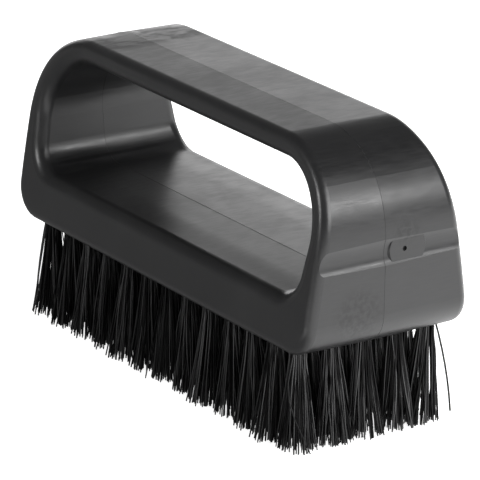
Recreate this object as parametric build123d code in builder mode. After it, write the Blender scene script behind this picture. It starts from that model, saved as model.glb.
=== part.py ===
from build123d import *
import os

# Hand scrubbing brush with a fixed bow handle, for wheels and coachwork.
# One moulding forms the base block, the two legs and the handle bar. Sixty-five tufts of
# filament stand in blind holes in its underside, and each is folded round a flat wire anchor
# that bites into the wall of its hole.
# Millimetres, +Z up, X along the brush. The brush stands on its bristle tips at Z = 0.

# ---- moulded body: overall sizes ----
body_length = 150.0
base_width = 55.0          # across the underside, before the edges are rounded
handle_width = 35.0        # across the top of the handle, before the edges are rounded
body_height = 56.5         # from the underside to the top of the handle
side_bulge = 0.8           # how far the flanks belly out from straight
parting_offset = 2.0       # the mould parts this far from the middle, towards the -Y flank
draft = 0.7                # degrees, from the parting plane towards each flank

# ---- moulded body: end arcs and rounded edges ----
shoulder_height = 29.0     # the end arc starts here, above the underside
arc_run = 25.1             # how far the end arc reaches in from the end
arc_top_pull = 6.2         # length of the end arc's tangent at the handle
arc_foot_pull = 22.9       # length of the end arc's tangent at the leg
foot_round = 10.0          # the lower corners, seen from the side
outer_round = 2.8          # the outer edges of the flanks
opening_round = 3.9        # the edges of the finger opening

# ---- finger opening ----
floor_thickness = 15.4
bar_thickness = 7.5
leg_thickness = 8.5        # at the waist, where the opening is longest
waist_height = 29.7        # above the underside
wall_lean = 1.9            # the opening's floor is this much shorter at each end
opening_foot_round = 8.0
opening_arc_run = 17.0
opening_arc_pull = 0.56    # share of the arc's run and rise that its tangents reach

# ---- shallow cove across each end, between leg and base ----
cove_bottom = 23.6         # above the underside
cove_top = 31.0
cove_depth = 0.95
cove_deepest = 26.6        # height of its deepest line
cove_reach = 5.0           # how far the cutter stands out of the end

# ---- gate mark in one cove ----
gate_radius = 5.8
gate_height = 27.3         # above the underside
gate_offset = 5.4          # to one side of the mid-plane
gate_sink = 0.35           # its face is this far inside the end of the base
gate_root = 3.0            # how deep the pad is rooted in the leg
gate_side_slope = 38.0     # degrees, from square to its face
gate_pit_radius = 0.7
gate_pit_depth = 0.8
gate_pit_offset = 4.4

# ---- tufts ----
tuft_columns = 13          # along the brush
tuft_rows = 5              # across it
end_margin = 12.3          # from the end of the body to the middle of the first column
side_margin = 6.4          # from the flank of the base to the middle of the first row
bristle_length = 29.0      # from the underside to the tips
hole_diameter = 5.0
hole_depth = 10.0
root_clearance = 0.05      # on the radius, between a tuft and its hole
tip_gap = 0.4              # between neighbouring tufts at their tips
fold_round = 1.2           # the folded end of a tuft, at the bottom of its hole

# ---- wire anchors ----
anchor_thickness = 0.4
anchor_height = 2.2
anchor_bite = 0.35         # how far each end of the anchor cuts into the wall of its hole
anchor_cover = 0.9         # filament between the anchor and the bottom of the hole

# ---- worked out ----
half_length = body_length / 2
arc_start = half_length - arc_run
middle_half_width = (base_width + handle_width) / 4 + side_bulge
opening_half = half_length - leg_thickness
opening_top = body_height - bar_thickness
opening_arc_rise = opening_top - waist_height
pitch_x = (body_length - 2 * end_margin) / (tuft_columns - 1)
pitch_y = (base_width - 2 * side_margin) / (tuft_rows - 1)
root_radius = hole_diameter / 2 - root_clearance
tip_radius = (min(pitch_x, pitch_y) - tip_gap) / 2
hole_end = bristle_length + hole_depth
anchor_length = hole_diameter + 2 * anchor_bite
anchor_middle = hole_end - anchor_cover - anchor_height / 2

side_view = Plane(origin=(0, 0, bristle_length), x_dir=(1, 0, 0), z_dir=(0, -1, 0))
parting_view = side_view.offset(parting_offset)
past_flanks = base_width / 2 + parting_offset
end_view = Plane(origin=(0, 0, bristle_length), x_dir=(0, 1, 0), z_dir=(1, 0, 0))
standing = (Align.CENTER, Align.CENTER, Align.MIN)
underside = Plane(origin=(0, 0, bristle_length), x_dir=(1, 0, 0), z_dir=(0, 0, -1))


def spaced(count, pitch):
    """Centred positions of a row of count things."""
    return [pitch * (number - (count - 1) / 2) for number in range(count)]


def flank_edges(body, round_opening):
    """Edges of both flanks, the two faces that the finger opening pierces."""
    edges = ShapeList()
    for flank in body.faces().filter_by(lambda face: len(face.inner_wires()) > 0):
        wires = flank.inner_wires() if round_opening else [flank.outer_wire()]
        for wire in wires:
            edges.extend(wire.edges())
    return edges


os.makedirs("parts", exist_ok=True)

# ---- body: base block, legs and handle bar in one moulding ----
with BuildPart() as brush_body:
    # side view: flat underside, rounded feet, upright ends, full arcs up to a flat handle
    with BuildSketch(parting_view):
        with BuildLine():
            Line((0, 0), (half_length - foot_round, 0))
            RadiusArc((half_length - foot_round, 0), (half_length, foot_round), -foot_round)
            Line((half_length, foot_round), (half_length, shoulder_height))
            Bezier((half_length, shoulder_height),
                   (half_length, shoulder_height + arc_foot_pull),
                   (arc_start + arc_top_pull, body_height),
                   (arc_start, body_height))
            Line((arc_start, body_height), (0, body_height))
            mirror(about=Plane.YZ)
        make_face()
    extrude(amount=past_flanks, both=True, taper=draft)

    # end view: the flanks lean in and belly out a little
    with BuildSketch(end_view):
        with BuildLine():
            Line((0, 0), (base_width / 2, 0))
            ThreePointArc((base_width / 2, 0), (middle_half_width, body_height / 2),
                          (handle_width / 2, body_height))
            Line((handle_width / 2, body_height), (0, body_height))
            mirror(about=Plane.YZ)
        make_face()
    extrude(amount=half_length, both=True, mode=Mode.INTERSECT)

    # finger opening
    with BuildSketch(parting_view):
        with BuildLine():
            floor_end = Vector(opening_half - wall_lean, floor_thickness)
            waist = Vector(opening_half, waist_height)
            roof_end = Vector(opening_half - opening_arc_run, opening_top)
            wall = Line(floor_end, waist)
            Bezier(waist,
                   waist + (wall % 1) * opening_arc_pull * opening_arc_rise,
                   roof_end + Vector(1, 0) * opening_arc_pull * opening_arc_run,
                   roof_end)
            Line(roof_end, (0, opening_top))
            Line((0, floor_thickness), floor_end)
            mirror(about=Plane.YZ)
        make_face()
        fillet(vertices().group_by(Axis.Y)[0], opening_foot_round)
    extrude(amount=past_flanks, both=True, taper=-draft, mode=Mode.SUBTRACT)

    fillet(flank_edges(brush_body, round_opening=False), outer_round)
    fillet(flank_edges(brush_body, round_opening=True), opening_round)

    # a cove straight across each end: a long round hollow, with a shorter one out to its rim
    with BuildSketch(side_view):
        with BuildLine():
            top = (half_length, cove_top)
            deepest = (half_length - cove_depth, cove_deepest)
            rim = (half_length, cove_bottom)
            TangentArc(deepest, top, tangent=(0, 1))
            TangentArc(deepest, rim, tangent=(0, -1))
            Polyline(rim, (half_length + cove_reach, cove_bottom),
                     (half_length + cove_reach, cove_top), top)
        make_face()
        mirror(about=Plane.YZ)
    extrude(amount=base_width / 2, both=True, mode=Mode.SUBTRACT)

    # gate mark: a round pad that fills part of one cove, with the pit of the broken sprue
    with BuildSketch(end_view.offset(half_length - gate_sink)):
        with Locations((gate_offset, gate_height)):
            Circle(gate_radius)
        with Locations((gate_offset, (cove_bottom + cove_top) / 2)):
            Rectangle(2 * gate_radius, cove_top - cove_bottom, mode=Mode.INTERSECT)
    extrude(amount=-gate_root, taper=-gate_side_slope)
    with BuildSketch(end_view.offset(half_length - gate_sink)):
        with Locations((gate_pit_offset, gate_height)):
            Circle(gate_pit_radius)
    extrude(amount=-gate_pit_depth, mode=Mode.SUBTRACT)

    # blind tuft holes, and the seats that the anchors cut in their walls
    with Locations(underside):
        with GridLocations(pitch_x, pitch_y, tuft_columns, tuft_rows):
            Hole(hole_diameter / 2, depth=hole_depth)
    with Locations(Plane.XY.offset(anchor_middle)):
        with GridLocations(pitch_x, pitch_y, tuft_columns, tuft_rows):
            Box(anchor_length, anchor_thickness, anchor_height, mode=Mode.SUBTRACT)

brush_body.part.label = "brush_body"
export_step(brush_body.part, "parts/brush_body.step")

# ---- tufts and anchors: one node of each for every column across the brush ----
for number, column_x in enumerate(spaced(tuft_columns, pitch_x), start=1):
    tips = [(column_x, row_y, 0) for row_y in spaced(tuft_rows, pitch_y)]
    mouths = [(column_x, row_y, bristle_length) for row_y in spaced(tuft_rows, pitch_y)]
    seats = [(column_x, row_y, anchor_middle) for row_y in spaced(tuft_rows, pitch_y)]

    # a tuft: a bunch that narrows from its tips to the mouth of the hole, then a straight
    # root with a rounded fold at its end and a slot where the anchor lies in the fold
    with BuildPart() as tuft_column:
        with Locations(*tips):
            Cone(tip_radius, root_radius, bristle_length, align=standing)
        with Locations(*mouths):
            Cylinder(root_radius, hole_depth, align=standing)
        fillet(tuft_column.edges().group_by(Axis.Z)[-1], fold_round)
        with Locations(*seats):
            Box(anchor_length, anchor_thickness, anchor_height, mode=Mode.SUBTRACT)
    name = f"tuft_column_{number:02d}"
    tuft_column.part.label = name
    export_step(tuft_column.part, f"parts/{name}.step")

    # an anchor: a short length of flat wire, pressed in edge-on along the brush
    with BuildPart() as anchor_column:
        with Locations(*seats):
            Box(anchor_length, anchor_thickness, anchor_height)
    name = f"anchor_column_{number:02d}"
    anchor_column.part.label = name
    export_step(anchor_column.part, f"parts/{name}.step")
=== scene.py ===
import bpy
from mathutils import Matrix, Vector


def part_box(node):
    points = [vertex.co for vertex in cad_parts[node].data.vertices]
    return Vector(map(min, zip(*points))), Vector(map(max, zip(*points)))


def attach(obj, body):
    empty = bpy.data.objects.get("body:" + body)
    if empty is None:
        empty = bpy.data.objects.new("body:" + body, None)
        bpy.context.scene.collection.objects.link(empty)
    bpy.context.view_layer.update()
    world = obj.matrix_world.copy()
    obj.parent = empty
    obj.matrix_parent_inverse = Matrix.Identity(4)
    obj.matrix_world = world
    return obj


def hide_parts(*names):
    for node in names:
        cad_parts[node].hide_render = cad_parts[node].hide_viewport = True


bl_info = {
    "name": "Bow-Handled Wheel Brush",
    "version": (1, 0, 0),
    "blender": (4, 5, 0),
    "location": "View3D > Sidebar > Wheel Brush",
    "description": "Filament tufts, moulded plastic and a studio for a wheel brush with a bow handle",
    "category": "Object",
}

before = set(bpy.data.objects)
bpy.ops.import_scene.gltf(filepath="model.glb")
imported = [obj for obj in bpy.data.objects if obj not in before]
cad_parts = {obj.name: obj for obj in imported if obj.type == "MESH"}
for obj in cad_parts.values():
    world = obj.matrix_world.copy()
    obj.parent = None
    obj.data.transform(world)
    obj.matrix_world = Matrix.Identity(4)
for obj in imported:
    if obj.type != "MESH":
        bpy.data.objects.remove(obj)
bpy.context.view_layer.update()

import math
import random

import bpy
from bpy.props import FloatProperty, FloatVectorProperty, IntProperty, PointerProperty
from mathutils import Matrix, Vector

MM = 0.001

BODY_LOW, BODY_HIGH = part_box("brush_body")
TUFT_NODES = sorted(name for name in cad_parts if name.startswith("tuft_column_"))
ANCHOR_NODES = sorted(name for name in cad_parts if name.startswith("anchor_column_"))


# ---------------------------------------------------------------- settings

class WheelBrushPlastic(bpy.types.PropertyGroup):
    """Finish of the moulded body."""

    colour: FloatVectorProperty(
        name="Colour", description="Black of the polypropylene", subtype="COLOR",
        size=3, min=0, max=1, default=(0.010, 0.010, 0.0105))
    bloom: FloatVectorProperty(
        name="Bloom", description="Paler black where the surface is dulled", subtype="COLOR",
        size=3, min=0, max=1, default=(0.017, 0.017, 0.0175))
    polish: FloatProperty(
        name="Polish", description="Roughness of the cleanest patches", min=0, max=1, default=0.29)
    dullness: FloatProperty(
        name="Dullness", description="Roughness of the dullest patches", min=0, max=1, default=0.39)
    grain_size: FloatProperty(
        name="Grain size", description="Size of the mould's texture",
        subtype="DISTANCE", unit="LENGTH", default=0.35 * MM)
    sink: FloatProperty(
        name="Sink", description="Depth of the shallow waves left as the moulding cools",
        subtype="DISTANCE", unit="LENGTH", default=0.05 * MM)
    bead: FloatProperty(
        name="Parting bead", description="Radius of the bead left where the mould parts",
        subtype="DISTANCE", unit="LENGTH", default=0.08 * MM)
    parting: FloatProperty(
        name="Parting offset", description="From the middle to the mould's parting plane",
        subtype="DISTANCE", unit="LENGTH", default=-2.0 * MM)


class WheelBrushFilament(bpy.types.PropertyGroup):
    """Size, spread and finish of the filament."""

    colour: FloatVectorProperty(
        name="Colour", description="Darkest strands", subtype="COLOR",
        size=3, min=0, max=1, default=(0.002, 0.002, 0.0021))
    pale_colour: FloatVectorProperty(
        name="Pale colour", description="Palest strands", subtype="COLOR",
        size=3, min=0, max=1, default=(0.012, 0.012, 0.0125))
    gloss: FloatProperty(
        name="Gloss", description="Roughness of a shiny strand", min=0, max=1, default=0.28)
    matt: FloatProperty(
        name="Matt", description="Roughness of a worn strand", min=0, max=1, default=0.5)
    dusty: FloatProperty(
        name="Dusty", description="Reflection of the darkest strands", min=0, max=1, default=0.1)
    clean: FloatProperty(
        name="Clean", description="Reflection of the palest strands", min=0, max=1, default=0.85)
    rows: IntProperty(
        name="Rows", description="Tufts across the brush", min=1, default=5)
    ends: IntProperty(
        name="Ends", description="Filament ends in one tuft", min=8, default=108)
    diameter: FloatProperty(
        name="Diameter", description="Thickness of a strand",
        subtype="DISTANCE", unit="LENGTH", default=0.4 * MM)
    root_radius: FloatProperty(
        name="Root radius", description="Radius of the bundle where it leaves its hole",
        subtype="DISTANCE", unit="LENGTH", default=2.15 * MM)
    tip_radius: FloatProperty(
        name="Tip radius", description="Radius that the bundle spreads to",
        subtype="DISTANCE", unit="LENGTH", default=6.0 * MM)
    hidden_length: FloatProperty(
        name="Hidden length", description="How far the strands reach up into the hole",
        subtype="DISTANCE", unit="LENGTH", default=2.0 * MM)
    waviness: FloatProperty(
        name="Waviness", description="How far a strand wanders from straight",
        subtype="DISTANCE", unit="LENGTH", default=0.5 * MM)
    gather: FloatProperty(
        name="Gather", description="How much the strands cling together in locks",
        subtype="FACTOR", min=0, max=1, default=0.2)
    unruly: FloatProperty(
        name="Unruly", description="Share of the strands that stand out of line",
        subtype="FACTOR", min=0, max=1, default=0.1)
    trim: FloatProperty(
        name="Trim", description="Unevenness of the cut tips",
        subtype="DISTANCE", unit="LENGTH", default=0.5 * MM)
    stray_girth: FloatProperty(
        name="Stray girth", description="Thickness of a strand on its own, to the others' 1",
        min=0.1, default=1.5)
    set_across: FloatProperty(
        name="Set across", description="How far use has pushed the tips of the last column",
        subtype="DISTANCE", unit="LENGTH", default=1.5 * MM)


class WheelBrushStudio(bpy.types.PropertyGroup):
    """Floor, lights and camera."""

    floor_size: FloatProperty(
        name="Floor", description="Width of the floor", subtype="DISTANCE", unit="LENGTH",
        default=12.0)
    floor_colour: FloatVectorProperty(
        name="Floor colour", description="Pale paper", subtype="COLOR",
        size=3, min=0, max=1, default=(0.82, 0.82, 0.82))
    floor_glow: FloatProperty(
        name="Floor glow", description="Light from under the paper", min=0, default=0.9)
    # the card's painted reflection: its glow for the shaded floor, for the lit floor and for the
    # painted pool of light under the strip light
    shaded_floor: FloatProperty(
        name="Shaded floor", description="Brightness of the floor that the gloss mirrors",
        min=0, default=0.26)
    sunlit_floor: FloatProperty(
        name="Lit floor", description="Brightness of its side by the large soft light",
        min=0, default=2.5)
    front_pool: FloatProperty(
        name="Front pool", description="Brightness of the floor under the strip light",
        min=0, default=2.6)
    room: FloatProperty(
        name="Room", description="Brightness of the dim room", min=0, default=0.13)
    focal_length: FloatProperty(
        name="Focal length", description="Lens, in millimetres", min=1, default=289.5)
    heading: FloatProperty(
        name="Heading", description="Turn of the camera round the brush", subtype="ANGLE",
        default=math.radians(56.05))
    height: FloatProperty(
        name="Height", description="Elevation of the camera", subtype="ANGLE",
        default=math.radians(19.09))
    roll: FloatProperty(
        name="Roll", description="Tilt of the camera about its own axis", subtype="ANGLE",
        default=math.radians(0.78))
    distance: FloatProperty(
        name="Distance", description="From the camera to the brush",
        subtype="DISTANCE", unit="LENGTH", default=1.0834)
    aim: FloatVectorProperty(
        name="Aim", description="What the camera points at, from the middle of the underside",
        subtype="TRANSLATION", unit="LENGTH", size=3, default=(0.0005, 0.0018, 0.0082))


# ---------------------------------------------------------------- small tools

def deselect():
    """Clears the selection, so that an operator acts only on what is picked next."""
    for thing in bpy.context.selected_objects:
        thing.select_set(False)
    bpy.context.view_layer.objects.active = None


def pick(thing):
    """Selects one object and makes it active."""
    deselect()
    thing.select_set(True)
    bpy.context.view_layer.objects.active = thing


def settle(thing):
    """Moves an object's place, turn and scale into its mesh."""
    pick(thing)
    bpy.ops.object.transform_apply(location=True, rotation=True, scale=True)


def dress(thing, material):
    """Gives an object one material and nothing else."""
    thing.data.materials.clear()
    thing.data.materials.append(material)


class Nodes:
    """Short calls for building a node tree."""

    def __init__(self, tree):
        self.tree = tree

    def add(self, kind, **settings):
        """A new node, with its settings."""
        node = self.tree.nodes.new(kind)
        for key, value in settings.items():
            setattr(node, key, value)
        return node

    def join(self, source, target):
        """Links an output to an input."""
        self.tree.links.new(source, target)

    def feed(self, socket, value):
        """Sets a socket, or links it if value is another node's output."""
        if isinstance(value, bpy.types.NodeSocket):
            self.join(value, socket)
        else:
            socket.default_value = value

    def sum(self, operation, a, b=0.0, clamp=False):
        """One Math node."""
        node = self.add("ShaderNodeMath", operation=operation, use_clamp=clamp)
        self.feed(node.inputs[0], a)
        self.feed(node.inputs[1], b)
        return node.outputs[0]

    def product(self, *values):
        """All the values multiplied together."""
        total = values[0]
        for value in values[1:]:
            total = self.sum("MULTIPLY", total, value)
        return total

    def layered(self, base, *layers):
        """Base, with a share of each mask added to it."""
        total = base
        for mask, share in layers:
            total = self.sum("ADD", total, self.product(mask, share))
        return total

    def between(self, value, low, high, to_low=0.0, to_high=1.0):
        """Maps value from low..high to to_low..to_high smoothly, held at both ends."""
        node = self.add("ShaderNodeMapRange", interpolation_type="SMOOTHSTEP")
        self.feed(node.inputs["Value"], value)
        for name, number in (("From Min", low), ("From Max", high),
                             ("To Min", to_low), ("To Max", to_high)):
            self.feed(node.inputs[name], number)
        return node.outputs["Result"]

    def window(self, value, low, high, fade):
        """1 while value is between low and high, fading to 0 outside."""
        rise = self.between(value, low - fade, low)
        return self.product(rise, self.between(value, high, high + fade, 1.0, 0.0))

    def parts(self, vector):
        """The three numbers of a vector."""
        node = self.add("ShaderNodeSeparateXYZ")
        self.join(vector, node.inputs[0])
        return node.outputs


class Finish(Nodes):
    """The node tree of a material, on the object's own coordinates."""

    def __init__(self, name):
        self.material = bpy.data.materials.new(name)
        self.material.use_nodes = True
        super().__init__(self.material.node_tree)
        self.shader = self.tree.nodes["Principled BSDF"]
        self.place = self.add("ShaderNodeTexCoord").outputs["Object"]

    def noise(self, size, detail=2.0, stretch=(1, 1, 1), distortion=0.0, offset=(0, 0, 0)):
        """Noise whose features are about size metres across, drawn out by stretch."""
        mapping = self.add("ShaderNodeMapping")
        self.join(self.place, mapping.inputs["Vector"])
        mapping.inputs["Location"].default_value = offset
        mapping.inputs["Scale"].default_value = [1 / (size * s) for s in stretch]
        texture = self.add("ShaderNodeTexNoise")
        self.join(mapping.outputs["Vector"], texture.inputs["Vector"])
        texture.inputs["Scale"].default_value = 1.0
        texture.inputs["Detail"].default_value = detail
        texture.inputs["Distortion"].default_value = distortion
        return texture.outputs["Fac"]

    def spot(self, centre, radius, fade):
        """1 within radius of a point, fading to 0 outside."""
        node = self.add("ShaderNodeVectorMath", operation="DISTANCE")
        self.join(self.place, node.inputs[0])
        node.inputs[1].default_value = centre
        return self.between(node.outputs["Value"], radius, radius + fade, 1.0, 0.0)

    def blend(self, share, first, second):
        """Mixes two colours."""
        node = self.add("ShaderNodeMix", data_type="RGBA")
        self.feed(node.inputs["Factor"], share)
        for socket, colour in (("A", first), ("B", second)):
            target = [s for s in node.inputs if s.name == socket and s.type == "RGBA"][0]
            target.default_value = (*colour, 1)
        return [s for s in node.outputs if s.type == "RGBA"][0]

    def bump(self, height, distance, below=None):
        """A bump that stands on an earlier one."""
        node = self.add("ShaderNodeBump")
        self.join(height, node.inputs["Height"])
        node.inputs["Distance"].default_value = distance
        if below is not None:
            self.join(below, node.inputs["Normal"])
        return node.outputs["Normal"]


# ---------------------------------------------------------------- materials

PLASTIC_IOR = 1.5
PLAIN_SHINE = 0.5           # the shader's own specular level, where nothing marks it
WHITE = (1, 1, 1, 1)
BLACK = (0, 0, 0, 1)


def far_scuff(n, x, on_top):
    """Scuffs on the handle's top, near its far end."""
    rubbed = n.noise(4 * MM, detail=3.0, stretch=(1, 2, 1), distortion=1.0)
    along = n.window(x, -BODY_HIGH.x + 14 * MM, -BODY_HIGH.x + 34 * MM, fade=5 * MM)
    return n.product(on_top, along, n.between(rubbed, 0.4, 0.62))


def duller_half(n, y, on_top, parting):
    """The side of the handle's top past the parting line, which is a little duller."""
    seam = 0.3 * MM
    return n.product(on_top, n.between(y, parting - seam, parting + seam, 1.0, 0.0))


def gate_scar(n):
    """A frosted patch above the gate mark."""
    frosted = n.noise(1.5 * MM, detail=2.0, distortion=0.4)
    around = n.spot((BODY_HIGH.x, 5 * MM, BODY_LOW.z + 33 * MM), radius=2 * MM, fade=4 * MM)
    return n.product(around, n.between(frosted, 0.36, 0.66))


def hammered_patch(n):
    """A patch low on the near end, where the mould's own surface was uneven."""
    return n.spot((BODY_HIGH.x, -10 * MM, BODY_LOW.z + 11 * MM), radius=4 * MM, fade=6 * MM)


def brow_marks(n, x, y, z):
    """Faint flow marks where the near end turns over into the handle's top."""
    top = BODY_HIGH.z
    flow = n.noise(2.6 * MM, detail=1.0, stretch=(1, 2.5, 0.6), distortion=0.4)
    return n.product(n.window(z, top - 4.6 * MM, top - 3.2 * MM, fade=1.2 * MM),
                     n.window(y, 4 * MM, 12 * MM, fade=4 * MM),
                     n.window(x, 55 * MM, BODY_HIGH.x, fade=MM),
                     n.between(flow, 0.36, 0.68))


def opening_floor(n, x, y, z):
    """The floor of the opening, easing down to its rounded edge on each side."""
    end, foot = BODY_HIGH.x, BODY_LOW.z
    on_floor = n.product(n.window(z, foot + 14 * MM, foot + 16.5 * MM, fade=MM),
                         n.window(x, -end + 12 * MM, end - 12 * MM, fade=MM))
    across = n.sum("ABSOLUTE", y)
    return n.product(on_floor, n.between(across, 12 * MM, 25 * MM, 1.0, 0.0))


def black_plastic(look):
    """Satin black polypropylene, with flow marks and scuffs where handling leaves them."""
    n = Finish("black_plastic")
    x, y, z = n.parts(n.place)
    on_top = n.between(z, BODY_HIGH.z - 1.5 * MM, BODY_HIGH.z - 0.3 * MM)
    scuff = far_scuff(n, x, on_top)
    half = duller_half(n, y, on_top, look.parting)
    scar = gate_scar(n)
    hammered = hammered_patch(n)
    brow = brow_marks(n, x, y, z)

    # soft patches, fine streaks across the brush, and a mottle between them in size
    patches = n.noise(24 * MM, detail=1.0, stretch=(1, 1.6, 1), distortion=0.3)
    streaks = n.noise(0.42 * MM, detail=3.0, stretch=(1, 12, 1), distortion=0.5)
    mottle = n.noise(2.6 * MM, detail=2.0, stretch=(1, 2.2, 1), distortion=0.4,
                     offset=(3, 1, 2))
    dull = n.between(n.layered(0.0, (patches, 0.35), (streaks, 0.4), (mottle, 0.25)), 0.36, 0.64)
    rough = n.layered(look.polish, (dull, look.dullness - look.polish),
                      (scuff, 0.12), (half, 0.05), (scar, 0.14))
    n.join(rough, n.shader.inputs["Roughness"])

    # the marks and the mottle shine a little less
    blotches = n.between(n.noise(1.5 * MM, detail=2.0, distortion=0.3, offset=(2, 5, 1)),
                         0.34, 0.66)
    shine = n.layered(PLAIN_SHINE, (brow, -0.15), (scar, -0.08),
                      (n.product(hammered, blotches), -0.1), (mottle, -0.06))
    n.join(shine, n.shader.inputs["Specular IOR Level"])
    bloom = n.sum("ADD", n.product(dull, 0.7), n.product(scuff, 0.8), clamp=True)
    n.join(n.blend(bloom, look.colour, look.bloom), n.shader.inputs["Base Color"])

    # the surface itself, from the widest waves to the mould's texture
    normal = None
    for height, depth in (
            (n.noise(16 * MM, detail=1.0, offset=(1, 4, 2)), look.sink),
            (opening_floor(n, x, y, z), 0.45 * MM),
            (streaks, 0.005 * MM),
            (mottle, 0.01 * MM),
            (n.product(hammered, n.noise(1.8 * MM, detail=2.0)), 0.07 * MM),
            (scar, 0.03 * MM),
            (n.product(brow, -1.0), 0.02 * MM),
            (n.noise(look.grain_size, detail=1.0), 0.005 * MM)):
        normal = n.bump(height, depth, normal)
    n.join(normal, n.shader.inputs["Normal"])
    n.shader.inputs["IOR"].default_value = PLASTIC_IOR
    return n.material


def black_filament(look):
    """Stiff black filament: each strand has its own shade and its own gloss."""
    n = Finish("black_filament")
    shade = n.add("ShaderNodeAttribute", attribute_name="strand_shade").outputs["Fac"]
    n.join(n.blend(shade, look.colour, look.pale_colour), n.shader.inputs["Base Color"])
    along = n.noise(1.5 * MM, detail=2.0, stretch=(1, 1, 5))
    worn = n.layered(0.0, (shade, -0.8), (along, 0.4))
    n.join(n.between(worn, -0.6, 0.3, look.gloss, look.matt), n.shader.inputs["Roughness"])
    n.join(n.between(shade, 0.1, 0.9, look.dusty, look.clean),
           n.shader.inputs["Specular IOR Level"])
    n.shader.inputs["IOR"].default_value = PLASTIC_IOR
    return n.material


def anchor_steel():
    """Flat galvanised wire, drawn along its length."""
    n = Finish("anchor_steel")
    drawn = n.noise(0.12 * MM, detail=3.0, stretch=(12, 1, 1))
    dark_zinc, pale_zinc = (0.42, 0.41, 0.39), (0.66, 0.65, 0.62)
    n.join(n.blend(drawn, dark_zinc, pale_zinc), n.shader.inputs["Base Color"])
    n.join(n.between(drawn, 0.3, 0.7, 0.28, 0.5), n.shader.inputs["Roughness"])
    n.join(n.bump(drawn, 0.01 * MM), n.shader.inputs["Normal"])
    n.shader.inputs["Metallic"].default_value = 1.0
    return n.material


def paper(look):
    """Pale lit paper for the floor."""
    n = Finish("pale_paper")
    n.shader.inputs["Base Color"].default_value = (*look.floor_colour, 1)
    n.shader.inputs["Roughness"].default_value = 0.9
    n.shader.inputs["Specular IOR Level"].default_value = 0.1
    n.shader.inputs["Emission Color"].default_value = WHITE
    n.shader.inputs["Emission Strength"].default_value = look.floor_glow
    return n.material


def painted_reflection(look):
    """A glowing card of painted reflection: a grey painted shaded floor, brighter painted light on
    one side and a painted pool of light in front of the flank.
    """
    n = Finish("painted_reflection")
    x, y = n.parts(n.place)[:2]
    # painted reflection: the glow rises from a dim painted shaded floor to a bright painted lit floor
    # towards the bright side
    bright_side = math.radians(30)
    toward = n.layered(0.0, (x, math.cos(bright_side)), (y, math.sin(bright_side)))
    glow = n.between(toward, 30 * MM, 100 * MM, look.shaded_floor, look.sunlit_floor)
    # a painted pool of light in front of the flank
    pool = n.spot((90 * MM, -210 * MM, 0), radius=60 * MM, fade=50 * MM)
    n.join(n.layered(glow, (pool, look.front_pool)), n.shader.inputs["Emission Strength"])
    n.shader.inputs["Emission Color"].default_value = WHITE
    n.shader.inputs["Base Color"].default_value = BLACK
    n.shader.inputs["Specular IOR Level"].default_value = 0.0
    return n.material


# ---------------------------------------------------------------- parting bead

BEAD_SEED = 77
BEAD_GIRTH = (0.8, 1.15)   # thinnest and thickest, to the bead's own radius
TOP_WEAR = 0.2             # what the hand has left of the bead on the handle's top
FAINT_WEAR = 0.75          # and what is left low on the ends and inside the opening


def without_bead(spot):
    """True on the underside and in the tuft holes."""
    if spot.z < BODY_LOW.z + 0.3 * MM:
        return True
    return spot.z < BODY_LOW.z + 14 * MM and abs(spot.x) < BODY_HIGH.x - 11 * MM


def parting_outline(body, parting):
    """The body's outline at the parting plane, as a curve object."""
    outline = bpy.data.objects.new("parting_bead", body.data.copy())
    bpy.context.scene.collection.objects.link(outline)
    pick(outline)
    bpy.ops.object.mode_set(mode="EDIT")
    bpy.ops.mesh.select_all(action="SELECT")
    bpy.ops.mesh.remove_doubles(threshold=0.001 * MM)
    bpy.ops.mesh.select_all(action="SELECT")
    bpy.ops.mesh.bisect(plane_co=(0, parting, 0), plane_no=(0, 1, 0),
                        clear_inner=True, clear_outer=True)
    bpy.ops.mesh.select_all(action="DESELECT")
    bpy.ops.object.mode_set(mode="OBJECT")
    for spot in outline.data.vertices:
        spot.select = without_bead(spot.co)
    bpy.ops.object.mode_set(mode="EDIT")
    bpy.ops.mesh.delete(type="VERT")
    bpy.ops.mesh.select_all(action="SELECT")
    bpy.ops.mesh.remove_doubles(threshold=0.05 * MM)
    bpy.ops.object.mode_set(mode="OBJECT")
    outline.data.materials.clear()
    bpy.ops.object.convert(target="CURVE")
    return bpy.context.object


def bead_wear(spot):
    """How much of the bead is left at a point."""
    wear = TOP_WEAR if spot.z > BODY_HIGH.z - 0.5 * MM else 1.0
    inside = spot.z < BODY_HIGH.z - 7 * MM and abs(spot.x) < BODY_HIGH.x - 8 * MM
    if spot.z < BODY_LOW.z + 22 * MM or inside:
        wear = min(wear, FAINT_WEAR)
    return wear


# ---------------------------------------------------------------- filament

TUFT_SEED = 4100
STRAND_POINTS = 7
LOCKS = 12                  # places in one tuft where its strands cling together
LEAN = 0.5 * MM             # how far a whole tuft's tips stand to one side
TWIST = 0.25                # radians that a tip stands round from its root
TIP_REACH = (0.88, 1.08)    # how far out the tips stand, to the tip radius
CLING = (0.3, 1.0)          # how much of the gather a strand takes
UNRULY_REACH = (0.8, 2.2)   # millimetres that an unruly tip stands off
UNRULY_BEND = 2.2           # how much more an unruly strand wanders
CROSS_BEND = 0.4            # a strand's second bend, to its first
BEND_TURNS = (0.7, 1.3)     # half waves in the first bend
CROSS_TURNS = 2.3           # half waves in the second
FLARE = 1.25                # a tuft opens out slowly at first: the power of its spread
STRAY_BOW = 1.6             # how fast a stray leaves its tuft, to a straight strand's 1
SHADE_POWER = 1.7           # above 1, most strands are dark


def any_angle(rng):
    """A direction at random."""
    return rng.uniform(0, 2 * math.pi)


def turned(angle, length):
    """A level vector."""
    return Vector((math.cos(angle), math.sin(angle), 0)) * length


def tuft_places(node, rows):
    """Where the tufts of one CAD column stand, as points on the floor."""
    low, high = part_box(node)
    reach = (high.x - low.x) / 2
    first, last = low.y + reach, high.y - reach
    step = (last - first) / (rows - 1)
    return [Vector(((low.x + high.x) / 2, first + row * step, 0)) for row in range(rows)]


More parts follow.
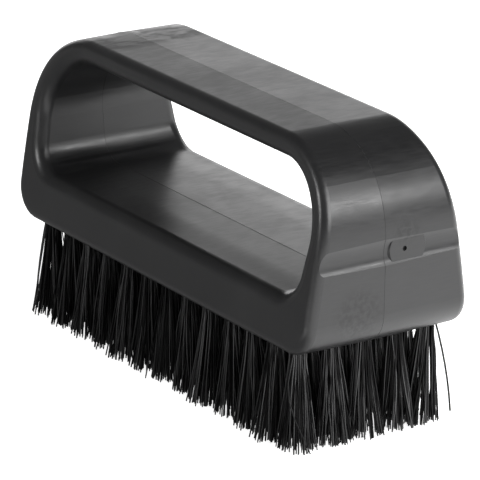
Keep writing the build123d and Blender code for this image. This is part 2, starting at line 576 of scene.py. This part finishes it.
def strand_line(rng, look, place, lean, locks):
    """Points of one strand, from inside its hole down to its cut tip."""
    drop = BODY_LOW.z
    angle = any_angle(rng)
    share = math.sqrt(rng.random())
    root = turned(angle, share * look.root_radius)
    tip = turned(angle + rng.gauss(0, TWIST), share * look.tip_radius * rng.uniform(*TIP_REACH))
    lock = min(locks, key=lambda spot: (spot - tip).length)
    tip = tip.lerp(lock, look.gather * rng.uniform(*CLING)) + lean
    bend = look.waviness
    if rng.random() < look.unruly:
        tip += turned(any_angle(rng), rng.uniform(*UNRULY_REACH) * MM)
        bend *= UNRULY_BEND
    # a strand that spreads further reaches less far down
    spread = (tip - root).length
    cut = drop - math.sqrt(drop * drop - spread * spread) + abs(rng.gauss(0, look.trim))
    cut = max(cut, look.diameter / 2)
    top = drop + look.hidden_length
    sway = turned(any_angle(rng), abs(rng.gauss(0, bend)))
    cross = turned(any_angle(rng), abs(rng.gauss(0, bend * CROSS_BEND)))
    turns = rng.uniform(*BEND_TURNS)
    phase = any_angle(rng)
    line = []
    for number in range(STRAND_POINTS):
        t = number / (STRAND_POINTS - 1)
        height = top + (cut - top) * t
        free = max(0.0, (drop - height) / drop)
        point = place + root.lerp(tip, free ** FLARE)
        point += sway * math.sin(math.pi * turns * free)
        point += cross * free * math.sin(phase + CROSS_TURNS * math.pi * free)
        point.z = height
        line.append(point)
    return line


def stray_line(place, root, reach, end_height):
    """Points of one strand that has sprung out of its tuft and bows away from it."""
    top = BODY_LOW.z + MM
    line = []
    for number in range(STRAND_POINTS):
        t = number / (STRAND_POINTS - 1)
        point = place + root + reach * (t * (STRAY_BOW - (STRAY_BOW - 1) * t))
        point.z = top + (end_height - top) * t
        line.append(point)
    return line


def stray_lines(column, places):
    """The strands that have sprung out of a column: one at each end of the brush."""
    if column == 0:
        return [stray_line(places[0], Vector((-1.4, -1.4, 0)) * MM,
                           Vector((-2.6, -2.3, 0)) * MM, end_height=2 * MM)]
    if column == len(TUFT_NODES) - 1:
        return [stray_line(places[-1], Vector((1.6, 1.6, 0)) * MM,
                           Vector((5.0, 2.6, 0)) * MM, end_height=4 * MM)]
    return []


def column_lines(rng, look, column, places):
    """Every strand of one column's tufts, without its strays."""
    lines = []
    for row, place in enumerate(places):
        lean = Vector((rng.gauss(0, LEAN), rng.gauss(0, LEAN), 0))
        if column == len(TUFT_NODES) - 1:
            # use has pushed the tips of this end across, and its last tuft leans back on them
            lean.y = -look.set_across if row == look.rows - 1 else look.set_across
        locks = [turned(any_angle(rng), math.sqrt(rng.random()) * look.tip_radius)
                 for _ in range(LOCKS)]
        lines += [strand_line(rng, look, place, lean, locks) for _ in range(look.ends)]
    return lines


def strands_mesh(name, lines, strays, look, rng):
    """Turns lines and strays into round strands, each with its own shade."""
    curve = bpy.data.curves.new(name, "CURVE")
    curve.dimensions = "3D"
    curve.bevel_depth = look.diameter / 2
    curve.bevel_resolution = 0
    curve.use_fill_caps = True
    girths = [1.0] * len(lines) + [look.stray_girth] * len(strays)
    for line, girth in zip(lines + strays, girths):
        spline = curve.splines.new("POLY")
        spline.points.add(len(line) - 1)
        for point, spot in zip(spline.points, line):
            point.co = (*spot, 1)
            point.radius = girth
    tuft = bpy.data.objects.new(name, curve)
    bpy.context.scene.collection.objects.link(tuft)
    pick(tuft)
    bpy.ops.object.convert(target="MESH")
    tuft = bpy.context.object
    tuft.name = name
    bpy.ops.object.shade_smooth()
    per_strand = len(tuft.data.vertices) // len(girths)
    shades = [rng.random() ** SHADE_POWER for _ in girths]
    shade = tuft.data.attributes.new("strand_shade", "FLOAT", "POINT")
    for number, item in enumerate(shade.data):
        item.value = shades[number // per_strand]
    return tuft


# ---------------------------------------------------------------- studio

# name, distance, then degrees: heading, height, half width, half height; fade, radiance
SOFT_LIGHTS = (
    ("large_soft_light", 1.3, 13, 30, 24, 25, 0.25, 8.0),
    ("strip_light", 1.0, -98, 20, 9, 12, 0.35, 20.0),
    ("key_light", 1.0, 32, 22, 4, 6, 0.35, 36.0),
    ("wall_light", 1.0, 146, 10.5, 34, 11, 0.12, 2.1),
)
LIT_POINT = Vector((0, 0, 50 * MM))   # what every light faces
CARD_SIZE = 3.0                       # metres
CARD_HEIGHT = 0.5 * MM                # over the floor


def soft_light(context, name, distance, heading, height, half_width, half_height, fade, glow):
    """A soft box that fades towards its edges; its angles are in degrees."""
    heading, height = math.radians(heading), math.radians(height)
    lamp = bpy.data.lights.new(name, "AREA")
    lamp.shape = "RECTANGLE"
    lamp.size = 2 * math.tan(math.radians(half_width)) * distance
    lamp.size_y = 2 * math.tan(math.radians(half_height)) * distance
    lamp.energy = glow * math.pi * lamp.size * lamp.size_y
    lamp.use_nodes = True
    n = Nodes(lamp.node_tree)
    u, v = n.parts(n.add("ShaderNodeNewGeometry").outputs["Parametric"])[:2]
    shape = n.product(n.window(u, fade, 1 - fade, fade), n.window(v, fade, 1 - fade, fade))
    n.join(shape, n.tree.nodes["Emission"].inputs["Strength"])
    light = bpy.data.objects.new(name, lamp)
    context.scene.collection.objects.link(light)
    away = Vector((math.cos(heading) * math.cos(height), math.sin(heading) * math.cos(height),
                   math.sin(height)))
    light.location = LIT_POINT + away * distance
    light.rotation_euler = away.to_track_quat("Z", "Y").to_euler()
    light.visible_camera = False


def paper_floor(look):
    """The pale floor that the brush stands on."""
    deselect()
    bpy.ops.mesh.primitive_plane_add(size=look.floor_size, location=(0, 0, 0))
    floor = bpy.context.object
    floor.name = "paper_floor"
    dress(floor, paper(look))


def painted_reflection_card(look):
    """A glowing card that only the gloss sees: its painted reflection of a shaded floor keeps the
    flank dark, and its painted light lights the near end.
    """
    deselect()
    bpy.ops.mesh.primitive_plane_add(size=CARD_SIZE, location=(0, 0, CARD_HEIGHT))
    card = bpy.context.object
    card.name = "painted_reflection_card"
    # the card glows with painted reflection, seen only in the gloss
    card.visible_camera = False
    card.visible_diffuse = False
    card.visible_shadow = False
    dress(card, painted_reflection(look))
    settle(card)


def dim_room(context, look):
    """An even, dim light from all round."""
    world = bpy.data.worlds.new("dim_room")
    world.use_nodes = True
    background = world.node_tree.nodes["Background"]
    background.inputs["Color"].default_value = WHITE
    background.inputs["Strength"].default_value = look.room
    context.scene.world = world


def studio_camera(context, look):
    """A long lens, turned about what it looks at and rolled a little."""
    back = Vector((math.sin(look.heading) * math.cos(look.height),
                   -math.cos(look.heading) * math.cos(look.height),
                   math.sin(look.height)))
    right = Vector((math.cos(look.heading), math.sin(look.heading), 0))
    turn = Matrix((right, back.cross(right), back)).transposed()
    lens = bpy.data.cameras.new("camera")
    lens.lens = look.focal_length
    lens.clip_end = 100
    camera = bpy.data.objects.new("camera", lens)
    context.scene.collection.objects.link(camera)
    underside = Vector((0, 0, BODY_LOW.z))
    camera.location = underside + Vector(look.aim) + back * look.distance
    camera.rotation_euler = (turn @ Matrix.Rotation(look.roll, 3, "Z")).to_euler()
    context.scene.camera = camera
    context.scene.view_settings.view_transform = "Standard"


# ---------------------------------------------------------------- operators

class WHEELBRUSH_OT_moulded_body(bpy.types.Operator):
    """Give the moulded body its satin black plastic"""

    bl_idname = "wheel_brush.moulded_body"
    bl_label = "Moulded Body"

    def execute(self, context):
        dress(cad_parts["brush_body"], black_plastic(context.scene.wheel_brush_plastic))
        return {"FINISHED"}


class WHEELBRUSH_OT_parting_bead(bpy.types.Operator):
    """Run the fine bead of the mould's parting line round the handle, the ends and the opening"""

    bl_idname = "wheel_brush.parting_bead"
    bl_label = "Parting Bead"

    def execute(self, context):
        look = context.scene.wheel_brush_plastic
        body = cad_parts["brush_body"]
        bead = parting_outline(body, look.parting)
        bead.data.bevel_depth = look.bead
        bead.data.bevel_resolution = 1
        bead.data.use_fill_caps = True
        rng = random.Random(BEAD_SEED)
        for spline in bead.data.splines:
            for point in spline.points:
                point.radius = rng.uniform(*BEAD_GIRTH) * bead_wear(point.co)
        bpy.ops.object.convert(target="MESH")
        bead = context.object
        if len(bead.data.polygons) == 0:
            raise RuntimeError("the parting plane misses the body")
        bpy.ops.object.shade_smooth()
        dress(bead, body.data.materials[0])
        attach(bead, "root")
        return {"FINISHED"}


class WHEELBRUSH_OT_anchors(bpy.types.Operator):
    """Give the wire anchors their steel"""

    bl_idname = "wheel_brush.anchors"
    bl_label = "Wire Anchors"

    def execute(self, context):
        steel = anchor_steel()
        for node in ANCHOR_NODES:
            dress(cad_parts[node], steel)
        return {"FINISHED"}


class WHEELBRUSH_OT_tufts(bpy.types.Operator):
    """Make every tuft from its own strands, one piece for each column across the brush"""

    bl_idname = "wheel_brush.tufts"
    bl_label = "Filament Tufts"

    def execute(self, context):
        look = context.scene.wheel_brush_filament
        material = black_filament(look)
        for column, node in enumerate(TUFT_NODES):
            rng = random.Random(TUFT_SEED + column)
            places = tuft_places(node, look.rows)
            lines = column_lines(rng, look, column, places)
            tuft = strands_mesh(node.replace("column", "strands"), lines,
                                stray_lines(column, places), look, rng)
            dress(tuft, material)
            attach(tuft, "root")
            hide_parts(node)
        return {"FINISHED"}


class WHEELBRUSH_OT_studio(bpy.types.Operator):
    """Set up the pale floor, the soft lights and the camera"""

    bl_idname = "wheel_brush.studio"
    bl_label = "Studio"

    def execute(self, context):
        look = context.scene.wheel_brush_studio
        paper_floor(look)
        painted_reflection_card(look)
        dim_room(context, look)
        for light in SOFT_LIGHTS:
            soft_light(context, *light)
        studio_camera(context, look)
        return {"FINISHED"}


class WHEELBRUSH_PT_tools(bpy.types.Panel):
    """Lists what makes the brush"""

    bl_idname = "WHEELBRUSH_PT_tools"
    bl_label = "Wheel Brush"
    bl_space_type = "VIEW_3D"
    bl_region_type = "UI"
    bl_category = "Wheel Brush"

    def draw(self, context):
        for operator in OPERATORS:
            self.layout.operator(operator.bl_idname)
        for group in SETTINGS:
            settings = getattr(context.scene, group)
            box = self.layout.box()
            for name in settings.bl_rna.properties.keys():
                if name not in {"rna_type", "name"}:
                    box.prop(settings, name)


SETTINGS = {
    "wheel_brush_plastic": WheelBrushPlastic,
    "wheel_brush_filament": WheelBrushFilament,
    "wheel_brush_studio": WheelBrushStudio,
}
OPERATORS = (
    WHEELBRUSH_OT_moulded_body,
    WHEELBRUSH_OT_parting_bead,
    WHEELBRUSH_OT_anchors,
    WHEELBRUSH_OT_tufts,
    WHEELBRUSH_OT_studio,
)


def register():
    for group in (*SETTINGS.values(), *OPERATORS, WHEELBRUSH_PT_tools):
        bpy.utils.register_class(group)
    for name, group in SETTINGS.items():
        setattr(bpy.types.Scene, name, PointerProperty(type=group))


def unregister():
    for name in SETTINGS:
        delattr(bpy.types.Scene, name)
    for group in reversed((*SETTINGS.values(), *OPERATORS, WHEELBRUSH_PT_tools)):
        bpy.utils.unregister_class(group)


def main():
    register()
    bpy.ops.wheel_brush.moulded_body()
    bpy.ops.wheel_brush.parting_bead()
    bpy.ops.wheel_brush.anchors()
    bpy.ops.wheel_brush.tufts()
    bpy.ops.wheel_brush.studio()


if __name__ == "__main__":
    main()
